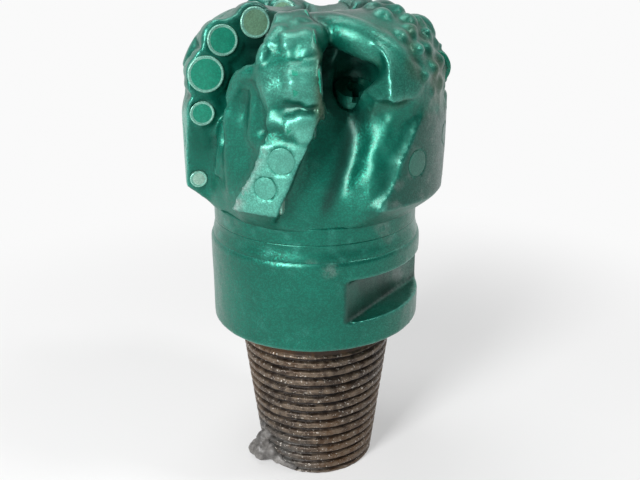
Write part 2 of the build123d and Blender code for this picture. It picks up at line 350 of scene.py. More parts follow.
# ---------------------------------------------------------------- places read from the CAD
def round_part(node):
    """Axis, front centre, radius and length of a round CAD piece. Its front is the smaller of its two ends."""
    mesh = nodes[node].data
    co = coords(mesh)
    areas, corners = {}, {}
    for p in mesh.polygons:
        way = tuple(np.round(np.array(p.normal), 2) + 0.0)
        areas[way] = areas.get(way, 0.0) + p.area
        corners.setdefault(way, set()).update(p.vertices)
    back, front = sorted(areas, key=lambda way: -areas[way])[:2]
    centre, rear = (middle_of(co[list(corners[way])]) for way in (front, back))
    axis = unit(centre - rear)
    radius = np.linalg.norm(np.cross(co - rear, axis), axis=1).max()
    return axis, centre, radius, float(np.dot(centre - rear, axis))


def button_place(node):
    """A gauge button's outward direction, height above the pin's end and radius."""
    co = coords(nodes[node].data)
    centre = middle_of(co)
    way = unit(np.array([centre[0], centre[1], 0.0]))
    return way, centre[2], (co[:, 2].max() - co[:, 2].min()) / 2


cutters = {n: round_part(n) for n in sorted(nodes) if "cutter" in n}
buttons = {n: button_place(n) for n in sorted(nodes) if "gauge_button" in n}


# ---------------------------------------------------------------- materials
class Nodes:
    """Short ways to add nodes to one tree."""

    def __init__(self, tree):
        self.tree = tree
        self.place = tree.nodes.new("ShaderNodeTexCoord").outputs["Object"]

    def link(self, a, b):
        self.tree.links.new(a, b)

    def put(self, socket, value):
        """Links a node's output to the socket, or sets the socket to a plain value."""
        if hasattr(value, "is_output"):
            self.link(value, socket)
        else:
            socket.default_value = value

    def noise(self, scale, detail=3.0, rough=0.55):
        n = self.tree.nodes.new("ShaderNodeTexNoise")
        for key, value in (("Scale", scale), ("Detail", detail), ("Roughness", rough), ("Vector", self.place)):
            self.put(n.inputs[key], value)
        return n.outputs["Fac"]

    def cells(self, scale):
        """A colour of its own for each cell."""
        n = self.tree.nodes.new("ShaderNodeTexVoronoi")
        n.inputs["Scale"].default_value = scale
        self.link(self.place, n.inputs["Vector"])
        return n.outputs["Color"]

    def math(self, kind, a, b=0.0, c=0.0):
        n = self.tree.nodes.new("ShaderNodeMath")
        n.operation = kind
        for socket, value in zip(n.inputs, (a, b, c)):
            self.put(socket, value)
        return n.outputs[0]

    def times(self, a, b):
        return self.math("MULTIPLY", a, b)

    def vector(self, kind, *values, scale=None):
        n = self.tree.nodes.new("ShaderNodeVectorMath")
        n.operation = kind
        for socket, value in zip(n.inputs, values):
            self.put(socket, value)
        if scale is not None:
            self.put(n.inputs["Scale"], scale)
        return n.outputs

    def range(self, value, low, high, to_low=0.0, to_high=1.0):
        """A smooth step from one pair of values to another."""
        n = self.tree.nodes.new("ShaderNodeMapRange")
        n.interpolation_type = "SMOOTHSTEP"
        for key, v in (("Value", value), ("From Min", low), ("From Max", high), ("To Min", to_low),
                       ("To Max", to_high)):
            self.put(n.inputs[key], v)
        return n.outputs["Result"]

    def mix(self, share, a, b):
        n = self.tree.nodes.new("ShaderNodeMix")
        n.data_type = "RGBA"
        self.put(n.inputs[0], share)
        for socket, value in ((n.inputs[6], a), (n.inputs[7], b)):
            self.put(socket, value if hasattr(value, "is_output") else (*value, 1.0))
        return n.outputs[2]

    def attr(self, name):
        n = self.tree.nodes.new("ShaderNodeAttribute")
        n.attribute_name = name
        return n.outputs["Fac"]

    def red(self, colour):
        n = self.tree.nodes.new("ShaderNodeSeparateColor")
        self.link(colour, n.inputs[0])
        return n.outputs[0]

    def bump(self, height, strength, distance, normal=None):
        n = self.tree.nodes.new("ShaderNodeBump")
        n.inputs["Strength"].default_value = strength
        n.inputs["Distance"].default_value = distance
        self.link(height, n.inputs["Height"])
        if normal is not None:
            self.link(normal, n.inputs["Normal"])
        return n.outputs["Normal"]

    def tilt(self, colour, amount, normal):
        """Leans the normal by a cell's own colour, as a flake in the paint does."""
        lean = self.vector("SUBTRACT", colour, (0.5, 0.5, 0.5))[0]
        lean = self.vector("SCALE", lean, scale=amount)[0]
        return self.vector("NORMALIZE", self.vector("ADD", lean, normal)[0])[0]


def new_material(name):
    """A material, ways to add nodes to it, and its shader."""
    mat = bpy.data.materials.new(name)
    mat.use_nodes = True
    return mat, Nodes(mat.node_tree), mat.node_tree.nodes["Principled BSDF"]


# the enamel's colours, what shows through it, and the painted shade and highlights laid on it
SHADE_DEEP = (0.001, 0.022, 0.016)
GREEN = (0.002, 0.142, 0.096)
BRIGHT = (0.080, 0.400, 0.320)
PAD = (0.080, 0.330, 0.255)
OLIVE = (0.050, 0.070, 0.036)
STONE = (0.300, 0.330, 0.320)
SHADE = (0.004, 0.046, 0.034)
DARKENED = (0.008, 0.022, 0.018)


def flake_paint(name, base=GREEN, marked=False, roughness=0.41, metal=0.62, grain=0.26):
    """Metallic flake enamel, brushed on thickly. Marked: pale where thin on the pads, worn and stained, with
    painted shade in creases and slots, painted highlights on crests and bulges, and some places darkened.
    """
    mat, n, bsdf = new_material(name)
    flakes = n.cells(2100.0)
    broad = n.noise(38.0, 3.0)
    streak = n.noise(170.0, 4.0, 0.6)
    colour = n.mix(n.range(broad, 0.33, 0.68), tuple(c * 0.84 for c in base), base)
    colour = n.mix(n.range(streak, 0.52, 0.80, 0.0, 0.16), colour, BRIGHT)
    rough_value = n.range(streak, 0.3, 0.7, roughness - 0.04, roughness + 0.06)
    if marked:
        # pale where the paint is thin on the pads, and a painted highlight on B's mass and C's roll
        colour = n.mix(n.attr("pale"), colour, PAD)
        # painted shade: the slots, the foot of C's ramp and C's gauge pad are darkened
        colour = n.mix(n.attr("shade"), colour, SHADE)
        # painted shade: creases and valleys are darkened
        colour = n.mix(n.attr("hollow_shade"), colour, SHADE_DEEP)
        # painted highlight: crests are lightened; on the neck bands the crest values are random lighter patches
        colour = n.mix(n.times(n.attr("crest"), 0.50), colour, BRIGHT)
        colour = n.mix(n.times(n.attr("olive"), n.range(broad, 0.3, 0.6, 0.5, 1.0)), colour, OLIVE)
        # some places darkened to near black: the upper face of blade A and the breaker slots' floors
        colour = n.mix(n.attr("dark"), colour, DARKENED)
        patch = n.times(n.attr("worn"), n.range(n.noise(170.0, 4.0, 0.65), 0.36, 0.56))
        colour = n.mix(patch, colour, STONE)
        rough_value = n.math("ADD", rough_value, n.times(patch, 0.2))
    sparkle = n.range(n.red(flakes), 0.25, 1.0, 1.0 - grain * 0.6, 1.0 + grain)
    n.link(n.vector("SCALE", colour, scale=sparkle)[0], bsdf.inputs["Base Color"])
    bumpy = n.bump(streak, 0.18, 0.0004)
    bumpy = n.bump(n.noise(520.0, 3.0, 0.6), 0.14, 0.0002, bumpy)
    n.link(n.tilt(flakes, 0.17, bumpy), bsdf.inputs["Normal"])
    n.link(rough_value, bsdf.inputs["Roughness"])
    bsdf.inputs["Metallic"].default_value = metal
    # the lacquer over the flakes, and little shine from what carries them
    bsdf.inputs["Specular IOR Level"].default_value = 0.12
    bsdf.inputs["Coat Weight"].default_value = 0.45
    bsdf.inputs["Coat Roughness"].default_value = 0.33
    return mat


def rusty_steel(name):
    """Rust on the pin: rubbed bare on its crests and caked with dirt at the foot, with painted shade nearly
    black in the thread's roots and the bore, and painted glints on the crests.
    """
    mat, n, bsdf = new_material(name)
    broad = n.noise(26.0, 4.0, 0.6)
    fine = n.noise(260.0, 5.0, 0.65)
    grit = n.noise(900.0, 3.0, 0.6)
    colour = n.mix(n.range(broad, 0.38, 0.66), (0.040, 0.027, 0.019), (0.100, 0.052, 0.022))
    colour = n.mix(n.range(fine, 0.46, 0.70, 0.0, 0.8), colour, (0.120, 0.064, 0.026))
    # painted shade: the thread's roots and the bore nearly black
    colour = n.mix(n.times(n.attr("hollow_shade"), 0.93), colour, (0.006, 0.005, 0.005))
    rubbed = n.times(n.attr("crest"), n.range(fine, 0.38, 0.62, 0.0, 0.6))
    colour = n.mix(rubbed, colour, (0.210, 0.170, 0.130))
    caked = n.times(n.attr("dirt"), n.range(fine, 0.36, 0.56, 0.35, 1.0))
    colour = n.mix(caked, colour, (0.100, 0.098, 0.092))
    # painted glints: sparse bright specks on the thread's crests
    glint = n.times(n.range(grit, 0.61, 0.68), n.attr("crest"))
    colour = n.mix(glint, colour, (0.62, 0.58, 0.52))
    n.link(colour, bsdf.inputs["Base Color"])
    n.link(n.range(fine, 0.35, 0.7, 0.30, 0.62), bsdf.inputs["Roughness"])
    bsdf.inputs["Metallic"].default_value = 0.60
    bumpy = n.bump(fine, 0.6, 0.0010)
    n.link(n.bump(grit, 0.45, 0.0005, bumpy), bsdf.inputs["Normal"])
    return mat


def grease(name):
    """Grey thread grease, set hard with grit in it."""
    mat, n, bsdf = new_material(name)
    broad = n.noise(120.0, 4.0, 0.6)
    fine = n.noise(600.0, 4.0, 0.6)
    colour = n.mix(n.range(broad, 0.35, 0.65), (0.060, 0.057, 0.054), (0.20, 0.19, 0.18))
    n.link(n.mix(n.range(fine, 0.5, 0.7, 0.0, 0.5), colour, (0.035, 0.030, 0.026)), bsdf.inputs["Base Color"])
    n.link(n.range(fine, 0.3, 0.7, 0.35, 0.6), bsdf.inputs["Roughness"])
    n.link(n.bump(fine, 0.4, 0.0006), bsdf.inputs["Normal"])
    return mat


def black_rubber(name):
    """The O-rings' dull rubber."""
    mat, n, bsdf = new_material(name)
    fine = n.noise(700.0, 3.0, 0.6)
    colour = n.mix(n.range(fine, 0.4, 0.65), (0.012, 0.012, 0.012), (0.030, 0.029, 0.028))
    n.link(colour, bsdf.inputs["Base Color"])
    n.link(n.range(fine, 0.3, 0.7, 0.62, 0.8), bsdf.inputs["Roughness"])
    n.link(n.bump(fine, 0.2, 0.0002), bsdf.inputs["Normal"])
    return mat


paint_crown = flake_paint("flake_paint_crown", marked=True)
paint_crown_plain = flake_paint("flake_paint_plain", (0.012, 0.090, 0.066))
paint_shank = flake_paint("flake_paint_shank", marked=True, roughness=0.36, metal=0.66)
paint_cutter = flake_paint("flake_paint_cutter", (0.010, 0.235, 0.150), roughness=0.46, metal=0.30, grain=0.25)
paint_pale = flake_paint("flake_paint_pale", (0.130, 0.260, 0.165), roughness=0.46, metal=0.25, grain=0.25)
paint_updrill = flake_paint("flake_paint_worn", (0.25, 0.42, 0.34), roughness=0.5, metal=0.2, grain=0.2)
# painted highlight: the lighter paint of the cutters' rims
rim_highlight_paint = flake_paint("flake_paint_rim", (0.20, 0.46, 0.37), roughness=0.32, metal=0.4, grain=0.3)
paint_button = flake_paint("flake_paint_button", PAD, roughness=0.42, grain=0.16)
paint_shaded = flake_paint("flake_paint_shaded", (0.030, 0.150, 0.110), roughness=0.42, metal=0.3, grain=0.16)
paint_groove = flake_paint("flake_paint_groove", (0.004, 0.030, 0.024), roughness=0.6, metal=0.1, grain=0.1)
rusty_pin = rusty_steel("rusty_pin_steel")
hard_grease = grease("pin_grease")
rubber = black_rubber("o_ring_rubber")


# ---------------------------------------------------------------- the crown
def on_crown(azimuth, travel, inset):
    """A point on the blades' cutting profile at a travel outward from the nose, less an inset."""
    if travel < 0:
        r = NOSE_RADIUS + travel * math.cos(CONE)
        z = GAUGE_TOP + SHOULDER_ARC + travel * math.sin(CONE)
        normal = (-math.sin(CONE), math.cos(CONE))
    elif travel < SHOULDER_TRAVEL:
        normal = (math.sin(travel / SHOULDER_ARC), math.cos(travel / SHOULDER_ARC))
        r, z = NOSE_RADIUS + SHOULDER_ARC * normal[0], GAUGE_TOP + SHOULDER_ARC * normal[1]
    else:
        r, z = GAUGE, GAUGE_TOP - (travel - SHOULDER_TRAVEL)
        normal = (1.0, 0.0)
    return at(azimuth, r - inset * normal[0], z - inset * normal[1])


def lumps_on_crown(table):
    """Balls set into the crown's face, from rows of azimuth, travel, depth of the centre and radius."""
    return [ball(on_crown(azimuth, travel, inset), size) for azimuth, travel, inset, size in table]


def line(points, radii, step=2.0):
    """A chain through points given by azimuth, radius and height."""
    return chain([at(*point) for point in points], radii, step)


def nozzle_mouths():
    """Azimuth of each nozzle, the middle of its outer face and its axis."""
    mouths = []
    for node in sorted(n for n in nodes if n.startswith("nozzle_") and "ring" not in n):
        middle = middle_of(coords(nodes[node].data))
        azimuth = math.degrees(math.atan2(middle[0], -middle[1]))
        lean = direction(azimuth - NOZZLE_TURN) * math.sin(NOZZLE_TILT)
        axis = lean + np.array([0, 0, math.cos(NOZZLE_TILT)])
        mouths.append((azimuth, middle + axis * NOZZLE_HALF, axis))
    return mouths


def pocket_tools():
    """What the nozzle pockets scoop out of the cast crown, and the dip beside blade C's foot."""
    parts = []
    for azimuth, mouth, axis in nozzle_mouths():
        parts.append(lathe([(-0.3, 9.0), (16.0, 9.4)], 48, mouth, axis))
        # the pillow closes the way out from the nozzle between A and B
        if -60 < azimuth < -20:
            continue
        for turn, drop in ((18.5, 0.0), (13.0, 1.0)):
            parts += chain([mouth + axis * 3.0, at(azimuth - turn * 0.6, 38, 127 - drop),
                            at(azimuth - turn, 50, 128.5 - drop), at(azimuth - turn, 64, 131 - drop)],
                           [8.0, 10.2, 10.8, 11.5])
    # the corner of blade C's ramp, and the valley beside its gauge pad
    parts += line([(36.5, 64.5, 109), (34, 64.5, 103)], [7.0, 8.0])
    parts += line([(29, 57.5, 107), (24.5, 56.5, 101), (18.5, 56.0, 91), (12, 55.5, 78), (8, 55.0, 68)],
                  [8.0, 9.0, 9.0, 8.6, 7.4])
    for turn, drop in ((0.0, 0.0), (5.0, 0.6)):
        parts += line([(44 - turn, 61.4 - drop, 109), (41.5 - turn, 61.0 - drop, 105), (34.5 - turn, 60.2, 94),
                       (28 - turn, 60.2, 85), (24 - turn, 61.4, 78), (22 - turn, 62.8, 72)],
                      [5.2, 5.4, 5.2, 4.6, 4.0, 3.4])
    return parts


def pillow():
    """The swelling that closes the slot between A and B, ridged along A's side."""
    parts = []
    for i in range(17):
        height = 62 + 3.7 * i
        a = np.interp(height, (62, 80, 94, 105, 115, 122), (-53, -50, -46.5, -45, -43.5, -37))
        b = np.interp(height, (62, 80, 94, 105, 122), (-33, -29, -25, -24, -25))
        size = 5.6 + 0.6 * ramp(height, 66, 76)
        surface = 46.6 + 2.6 * ramp(height, 60, 82)
        for j in range(7):
            share = j / 6.0
            dip = (0.6 + 3.2 * ramp(height, 66, 84)) * math.sin(math.pi * min(share, 0.999)) ** 0.8
            parts.append(ball(at(a + (b - a) * share, surface - dip - size, height), size))
    ridge = [(-24.5, 50.5, 126.5), (-32.0, 49.5, 125.0), (-38.5, 48.4, 121.5), (-44.0, 47.8, 114.5),
             (-47.0, 48.0, 104.8), (-49.0, 48.2, 94.5), (-52.0, 47.6, 82.0), (-55.0, 46.2, 68.0)]
    parts += line(ridge, [3.4, 3.6, 3.8, 3.8, 3.8, 3.6, 3.0, 2.2], 1.5)
    parts += line([(-29.0, 46.8, 122), (-31.0, 47.4, 110), (-34.0, 46.8, 96)], [3.2, 3.6, 2.6], 1.5)
    # folds down the face of blade A, below its last shearing cutter
    return parts + line([(-59.5, 44.8, 99), (-61, 46.4, 92), (-60, 48.0, 84), (-63, 48.6, 77)],
                        [2.6, 3.0, 2.8, 2.4], 1.5)


def ramp_flank():
    """The long soft rib at the edge of blade C's ramp, which leans outward as it rises."""
    rib = [(45.5, 49.6, 117), (44.5, 49.4, 111), (38.0, 48.8, 103), (31.0, 48.4, 91), (24.0, 48.4, 78),
           (20.0, 47.0, 70), (15.5, 45.0, 62), (13.0, 44.0, 56)]
    parts = line(rib, [5.4, 5.4, 5.2, 5.2, 5.0, 4.4, 3.4, 2.4], 1.5)
    parts += line([(30, 51.0, 85), (27.5, 51.6, 77), (26, 51.0, 70.5)], [5.2, 5.6, 5.0], 1.5)
    return parts + line([(47, 52.0, 119), (46.5, 51.4, 113), (43.5, 50.0, 107)], [5.4, 5.4, 5.0], 1.5)


# lumps of cast matrix, as rows for lumps_on_crown: B's melted mass, and the knobs on C's outer face
MELTED_MASS = (
    (-9, 46, 8.5, 9.5), (-10, 36, 9, 10.0), (-13, 28, 8, 8.5), (-4, 31, 8, 8.5), (-3, 44, 8.0, 8.6),
    (-15, 44, 8.0, 8.6), (-8, 20, 8, 8.8), (-10, 11, 7.5, 8.3), (-2, 16, 7, 7.5),
)
KNOBS = (
    (62, 4, 2.6, 6.0), (72, 12, 2.0, 5.6), (52, 12, 2.8, 5.8), (66, 20, 2.0, 5.4), (79, 22, 1.8, 5.4),
    (57, 25, 1.8, 5.0), (72, 30, 1.6, 5.2), (63, 34, 1.8, 4.8), (82, 34, 1.6, 5.2), (53, 34, 1.6, 4.4),
    (71, 41, 2.0, 5.2), (81, 45, 2.4, 5.4), (60, 43, 1.8, 4.8), (66, 51, 2.8, 4.8), (76, 53, 3.2, 5.0),
    (53, 45, 2.2, 4.4), (58, 53, 3.0, 4.4), (48, 26, 2.6, 4.8),
)


def crown_piece():
    """The CAD crown with its pockets filled, what melted over it and what was scooped out, in one skin."""
    parts = [mesh_parts(nodes["crown"])]
    # what fills the pockets of the cutters and buttons
    for axis, front, radius, length in cutters.values():
        back = front - axis * length
        parts.append(lathe([(-2.2, radius + 0.5), (length - 1.1, radius + 0.5)], 48, back, axis))
    for way, height, radius in buttons.values():
        start = way * (GAUGE - 6.0) + np.array([0, 0, height])
        parts.append(lathe([(0, radius + 0.4), (5.9, radius + 0.4)], 40, start, way))
    # blade B: one melted mass over the upper half of its outer face
    parts += lumps_on_crown(MELTED_MASS)
    parts += line([(-18, 42, 139), (-21.5, 49, 132), (-21.5, 52.5, 121), (-19.5, 53.5, 112)],
                  [5.0, 5.2, 5.4, 4.6])
    parts += line([(-4, 44, 138), (-2.5, 49.5, 131), (-1, 53, 120), (-0.5, 54.5, 110), (-3, 55, 103)],
                  [5.0, 5.2, 5.4, 5.0, 4.0])
    parts += pillow()
    obj = add("crown_body", mesh_from("crown_body", *merged(parts)))
    voxelled(obj, CROWN_VOXEL)
    tool = add("pocket_tool", mesh_from("pocket_tool", *merged(pocket_tools())))
    voxelled(tool, TOOL_VOXEL)
    cut(obj, tool, "MANIFOLD")
    parts = [mesh_parts(obj)]
    bpy.data.objects.remove(obj)
    # blade C: the heavy roll along its trailing crest, turned down at its outer end
    roll = [on_crown(azimuth, travel, 6.2) for azimuth, travel in (
        (6, 0), (14, 6), (21, 12), (28, 18), (34.5, 24), (40, 30), (43.5, 37), (45.5, 44), (46, 51), (46, 57))]
    parts += chain(roll, [6.0, 6.8, 7.3, 7.6, 7.6, 7.4, 7.0, 6.4, 5.8, 5.0], 1.5)
    parts += ramp_flank()
    parts += chain([on_crown(-4, -2, 7.5), on_crown(6, -1, 7.5), on_crown(12, 4, 7.5)], [7.0, 7.4, 7.4], 1.5)
    parts += lumps_on_crown(KNOBS)
    obj = add("crown_cast", mesh_from("crown_cast", *merged(parts)))
    return obj, voxelled(obj, CROWN_VOXEL)


def near_cutters(co):
    """1 beside a cutter's face, where the casting keeps its form, falling to 0 a few mm away."""
    keep = np.zeros(len(co))
    for axis, front, radius, length in cutters.values():
        along, out = from_axis(co, front, axis)
        share = (1 - ramp(out, radius + 1.5, radius + 4.5)) * (1 - ramp(-along, length * 0.5, length * 0.5 + 4))
        keep = np.maximum(keep, share)
    return keep


def over_cutters(co):
    """Points that lie close round a cutter's own body."""
    close = np.zeros(len(co), dtype=bool)
    for axis, front, radius, length in cutters.values():
        along, out = from_axis(co, front, axis)
        close |= (out < radius + 1.6) & (along < 1.0) & (along > -length - 1.0)
    return close


def blade_b_shift(co, height, azimuth, small):
    """Blade B's face: two bulges with a deep fold between them and a crease at the pad's upper edge."""
    across = azimuth - BLADE_B
    level = height + 0.9 * lumps(co, 9.0, 12)
    fold_at = 114.6 + 0.16 * across
    fold = ramp(across, -9, -1)
    seam = 104.9 + 0.19 * across
    shift = (-1.3 - 1.2 * np.clip(across / 13.0, -1.3, 1.0) ** 2
             + 1.4 * bell(level, 124.0, 6.0)
             + 1.0 * bell(level, 139.0, 4.0)
             - 2.4 * fold * bell(level, fold_at, np.where(level > fold_at, 2.0, 4.6))
             - 0.6 * (1 - fold) * bell(level, fold_at, 4.0)
             + 0.4 * bell(level, 108.6, 2.4)
             - 0.9 * bell(height, seam, 1.0)
             - 0.8 * ramp(across, -4, 6) * bell(level, 131.0, 1.5)
             - 0.6 * ramp(across, -2, 6) * bell(level, 126.5, 1.1)
             + 0.22 * lumps(co, 5.5, 11, (2.4, 2.4, 0.45)) + 0.10 * small)
    shift -= 0.8 * bell(across, 9.8, 1.1)
    return np.where(over_cutters(co), np.maximum(shift, -0.5), shift)


def sculpt_crown(obj, mesh):
    """Rounds, lumps and folds the cast skin, then trims it to the cutters, the buttons and the gauge."""
    co = coords(mesh)
    edges = edge_array(mesh)
    radius, height, azimuth = around(co)
    pad = ramp(radius, GAUGE - 0.9, GAUGE - 0.3) * (1 - ramp(height, 103, 109)) * ramp(height, 66.5, 68.5)
    keep = near_cutters(co)
    top = ramp(height, 100, GAUGE_TOP)
    melt = top * (1 - keep)
    # rounding: heavy on the crown, light on the flutes and pads
    weight = np.clip(0.10 + 0.9 * melt, 0, 1) * (1 - pad * 0.97)
    sides = np.maximum(ramp(azimuth, 4, 10) * (1 - ramp(azimuth, 44, 50)),
                       ramp(azimuth, -64, -58) * (1 - ramp(azimuth, -28, -22))) * ramp(radius, 24, 30)
    sides *= (1 - pad) * (1 - keep)
    weight = np.maximum(weight, 0.85 * sides)
    co = relax(co, edges, weight, 10)
    co = relax(co, edges, 0.9 * sides * ramp(height, 52, 58) * (1 - top), 22)
    weight = np.clip(0.15 + 0.85 * (1 - keep), 0, 1) * (1 - pad)
    co = relax(co, edges, weight, 4)
    set_coords(mesh, co)
    normal = normals(mesh)
    # lumps of melted matrix and paint
    big = lumps(co, 13.0, 3)
    mid = lumps(co, 6.5, 5)
    small = lumps(co, 3.0, 9)
    on_b = bell(azimuth, -10, 16.0, 4) * ramp(height, 97, 101) * ramp(radius, 40, 48)
    shift = melt * (0.55 * big + 0.50 * mid + 0.22 * small) * (1 - 0.7 * on_b)
    behind = 1 - bell(azimuth, 5, 75.0, 8)
    shift -= melt * (0.5 + 1.9 * behind) * (1 - on_b)
    shift += on_b * (1 - keep) * blade_b_shift(co, height, azimuth, small)
    shift += (1 - melt) * (1 - pad) * (0.35 * big + 0.15 * mid) * ramp(height, 58, 64)
    shift += (1 - pad) * 0.05 * lumps(co, 1.7, 21)
    co = co + normal * (shift * (1 - keep * 0.85))[:, None]
    co = relax(co, edges, np.clip(0.25 * melt + on_b, 0, 1) * (1 - keep), 3)
    # a thin skin in front of a cutter's face is drawn back behind it, but B's first two stay covered
    for name, (axis, front, size, length) in cutters.items():
        if name in ("blade_b_cutter_1", "blade_b_cutter_2"):
            continue
        along, out = from_axis(co, front, axis)
        inside = (out < size + 0.1) & (along > -1.0) & (along < 3)
        co[inside] -= np.outer(along[inside] + 1.0, axis)
    for way, high, size in buttons.values():
        along, out = from_axis(co, way * GAUGE + np.array([0, 0, high]), way)
        inside = (out < size + 0.25) & (along > -0.5)
        co[inside] -= np.outer(along[inside] + 0.5, way)
    # the pads are ground to the gauge, and the melted crown keeps inside the solids' box
    radius, height, _ = around(co)
    limit = GAUGE + 2.2 * ramp(height, 104, GAUGE_TOP)
    co[:, :2] *= np.minimum(1.0, limit / radius)[:, None]
    co[:, :2] = np.clip(co[:, :2], -GAUGE, GAUGE)
    set_coords(mesh, co)
    return thinned(obj, CROWN_TRIANGLES)


def mark_crown(mesh):
    """Where the paint is thin, worn or stained, and where shade and highlights are painted into its colour, as
    values that the material reads.
    """
    co = coords(mesh)
    edges = edge_array(mesh)
    soft = relax(co, edges, np.ones(len(co)), 8)
    normal = normals(mesh)
    bend = ((co - soft) * normal).sum(1)
    broad = relax(soft, edges, np.ones(len(co)), 60)
    depth = ((broad - co) * normal).sum(1)
    radius, height, azimuth = around(co)
    rim_of_b = bell(azimuth, BLADE_B + 12.2, 2.6) * ramp(height, 97, 103) * ramp(radius, 44, 50)
    # painted highlight: convex crests, except along B's rim
    attribute(mesh, "crest", spread(ramp(bend, 0.10, 0.55), edges, 2) * (1 - rim_of_b))
    # painted shade: concave creases and broad valleys, darker the deeper they lie
    hollow_shade = np.maximum(spread(ramp(-bend, 0.06, 0.50), edges, 3) * 0.85,
                        spread(ramp(depth, 0.25, 2.2), edges, 3) * 0.8)
    pad = ramp(radius, GAUGE - 0.5, GAUGE - 0.05) * (1 - ramp(height, 104, 109)) * ramp(height, 67, 69)
    left_of_b = bell(azimuth - SPIRAL * (height - 85.0), -29, 4.2)
    c_pad = ramp(azimuth, 26, 32) * (1 - ramp(azimuth, 90, 100))
    speckled = ramp(lumps(co, 4.0, 17), 0.1, 0.9)
    attribute(mesh, "worn", pad * np.clip(0.9 * left_of_b * (1 - c_pad) + 0.25 * c_pad * speckled, 0, 1))
    # pale: the pads where the paint is thin, and a painted highlight on the convex parts of B's mass and C's
    # roll
    b_mass = bell(azimuth, -11, 13.0, 4) * ramp(height, 104, 110) * ramp(radius, 44, 52)
    c_roll = bell(azimuth, 36, 16.0, 4) * ramp(height, 108, 116) * ramp(radius, 26, 34)
    convex = ramp(-depth, -0.4, 1.2)
    attribute(mesh, "pale", np.clip(pad * (1 - c_pad) + convex * (0.75 * b_mass + 0.35 * c_roll), 0, 1))
    # painted shade: little light reaches the slots between the blades, so they are darkened, and so are the
    # foot of C's ramp on either side of its rib and C's gauge pad, which faces away from the key lamp
    deep_slot = (1 - ramp(radius, 30, 41 + 6 * (1 - ramp(height, 60, 100)))) * ramp(height, 60, 74)
    rib_at = np.interp(height, (56, 62, 78, 91, 103, 117), (13.0, 15.5, 24.0, 31.0, 38.0, 45.5))
    flank = ramp(height, 60, 70) * (1 - ramp(height, 106, 114)) * (1 - pad) * ramp(azimuth, 0, 6)
    foot = bell(azimuth, rib_at - 13.5, 4.5) + 0.5 * bell(azimuth, rib_at + 6.5, 3.0)
    shade = np.maximum(0.62 * c_pad * pad, 0.75 * deep_slot)
    attribute(mesh, "shade", np.maximum(shade, 0.85 * flank * np.clip(foot, 0, 1)))
    attribute(mesh, "hollow_shade", hollow_shade * (1 - 0.8 * pad))
    on_c = bell(azimuth, 62, 26.0) * ramp(height, 100, GAUGE_TOP) * ramp(radius, 38, 52)
    brown = np.maximum(spread(on_c * ramp(lumps(co, 7.0, 31), -0.4, 0.5), edges, 2) * 0.75, rim_of_b * 0.8)
    attribute(mesh, "olive", brown)
    # blade A's upper face, beside its cutters, darkened
    dark = bell(azimuth, -50, 9.0) * ramp(height, 118, 126) * ramp(48 - radius, -6, 6)
    attribute(mesh, "dark", dark * 0.8)
    coated(mesh, paint_crown)
    mesh.shade_smooth()


crown, skin = crown_piece()
mark_crown(sculpt_crown(crown, skin))
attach(crown, "root")
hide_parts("crown")


# ---------------------------------------------------------------- cutters and buttons
def dressed_cutter(node, face_mat, rim_mat):
    """A cutter as it looks under paint: a slightly crowned face inside a rim, which on the cutters in view
    carries a painted highlight.
    """
    axis, front, radius, length = cutters[node]
    back = front - axis * length
    profile = [(0.0, 0.0), (0.0, radius - 0.3), (0.3, radius), (length - 0.9, radius),
               (length - 0.55, radius - 0.02), (length - 0.2, radius - 0.16), (length - 0.02, radius - 0.42),
               (length - 0.04, radius - 0.75), (length - 0.16, radius - 0.95), (length - 0.18, radius - 1.3),
               (length - 0.12, radius * 0.6), (length - 0.09, radius * 0.3), (length - 0.08, 0.05)]
    segments = 56
    verts, faces = lathe(profile, segments, back, axis)
    along = (verts - back) @ axis
    wobble = 0.12 * lumps(verts, 2.5, 41) * ramp(along, length - 1.5, length - 0.3)
    verts = verts + np.outer(wobble - 0.12 * ramp(along, length - 1.0, length - 0.2), axis)
    mesh = mesh_from(node + "_painted", verts, faces)
    coated(mesh, face_mat, rim_mat)
    for p in mesh.polygons:
        p.material_index = 1 if 3 <= min(p.vertices) // segments <= 8 else 0
    piece = add(node + "_painted", mesh)
    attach(piece, "root")
    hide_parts(node)


for node in cutters:
    if "updrill" in node:
        dressed_cutter(node, paint_updrill, rim_highlight_paint)
    else:
        buried = node.startswith("blade_b")
        face_paint = paint_pale if node.endswith("cutter_1") and not buried else paint_cutter
        dressed_cutter(node, face_paint, paint_crown_plain if buried else rim_highlight_paint)


def dressed_button(node):
    """A gauge button under paint: a flush disc inside the fine dark line of its joint."""
    axis, height, radius = buttons[node]
    along = coords(nodes[node].data) @ axis
    back = axis * along.min() + np.array([0, 0, height])
    length = along.max() - along.min()
    profile = [(0.0, 0.0), (0.0, radius), (length - 0.9, radius), (length - 0.7, radius - 0.05),
               (length - 0.7, radius - 0.45), (length - 0.05, radius - 0.55), (length, radius - 0.75),
               (length, radius * 0.5), (length, 0.05)]
    segments = 48
    verts, faces = lathe(profile, segments, back, axis)
    # its face is ground to the gauge diameter with the pad round it
    verts[:, :2] *= np.minimum(1.0, GAUGE / np.hypot(verts[:, 0], verts[:, 1]))[:, None]
    mesh = mesh_from(node + "_painted", verts, faces)
    # painted shade: buttons on C's pad, facing away from the key lamp, take a darker copy of the paint
    coated(mesh, paint_button if axis[0] < 0.5 else paint_shaded, paint_groove)
    for p in mesh.polygons:
        p.material_index = 1 if 2 <= min(p.vertices) // segments <= 3 else 0
    piece = add(node + "_painted", mesh)
    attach(piece, "root")
    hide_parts(node)


for node in buttons:
    dressed_button(node)

for node in nodes:
    if node.startswith("nozzle"):
        coated(nodes[node].data, rubber if "ring" in node else paint_shank)


